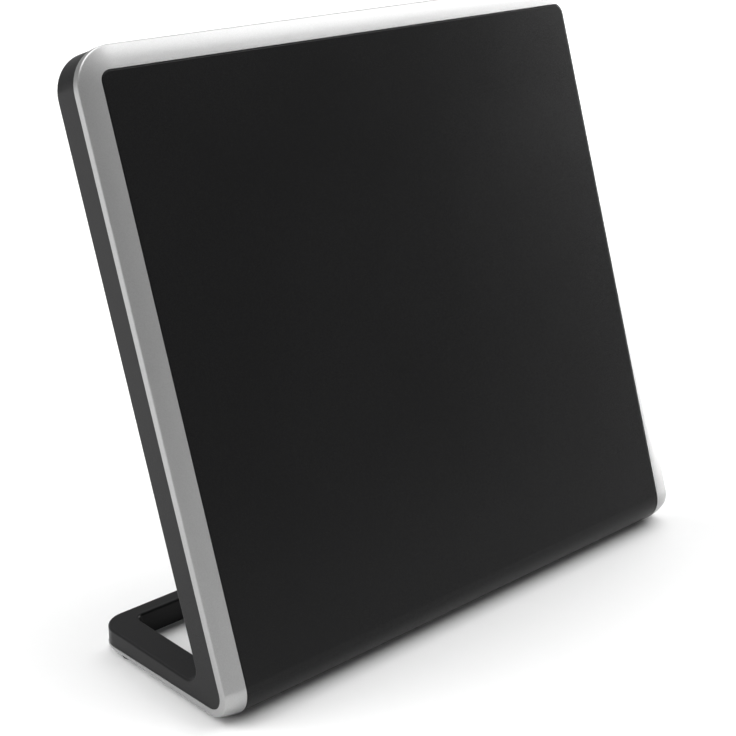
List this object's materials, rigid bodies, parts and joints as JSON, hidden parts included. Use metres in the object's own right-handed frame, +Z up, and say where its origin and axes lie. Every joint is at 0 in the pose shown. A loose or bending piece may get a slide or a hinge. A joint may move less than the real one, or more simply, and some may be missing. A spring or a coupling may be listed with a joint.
{
  "type": "indoor tv antenna",
  "caption": "Flat indoor tv antenna: a leaning black panel in a crowned silver border, bent at its base into an open foot, with aerial and supply sockets at the back.",
  "frame": {"origin": "middle of the object's outline on the surface it stands on", "axes": "+X to the right seen from the front, +Y to the back, +Z up"},
  "size_m": [0.204, 0.0714, 0.188],
  "materials": {
    "black_satin": "satin moulded black",
    "silver_paint": "satin silver paint over moulded plastic",
    "dark_grey": "fine matt texture",
    "rubber": "matt",
    "zinc_steel": "zinc plated",
    "laminate": "board with solder resist",
    "copper": "bright copper foil",
    "tinned_pins": "tinned",
    "ferrite": "matt sintered",
    "chip_black": "moulded package",
    "tinplate": "bright tinned sheet",
    "capacitor_can": "drawn can",
    "nickel": "nickel plate",
    "white_core": "natural insulating plastic",
    "contact_brass": "sprung contact",
    "socket_black": "moulded black"
  },
  "bodies": {
    "root": {"front_panel": "black_satin", "bezel_frame": "silver_paint", "rear_cover": "dark_grey", "foot_pad_front_left": "rubber", "foot_pad_front_right": "rubber", "foot_pad_back_left": "rubber", "foot_pad_back_right": "rubber", "cover_screws": "zinc_steel", "board_screws": "zinc_steel", "amplifier_screws": "zinc_steel", "antenna_board": "laminate", "uhf_element_left": "copper", "uhf_element_right": "copper", "vhf_loop": "copper", "feed_pins": "tinned_pins", "amplifier_board": "laminate", "balun_core": "ferrite", "amplifier_chip": "chip_black", "shield_can": "tinplate", "supply_capacitor": "capacitor_can", "supply_choke": "ferrite", "coax_socket": "nickel", "coax_insulator": "white_core", "coax_contact": "contact_brass", "coax_washer": "nickel", "coax_nut": "nickel", "dc_jack": "socket_black", "dc_pin": "nickel", "dc_spring": "contact_brass"}
  },
  "joints": []
}
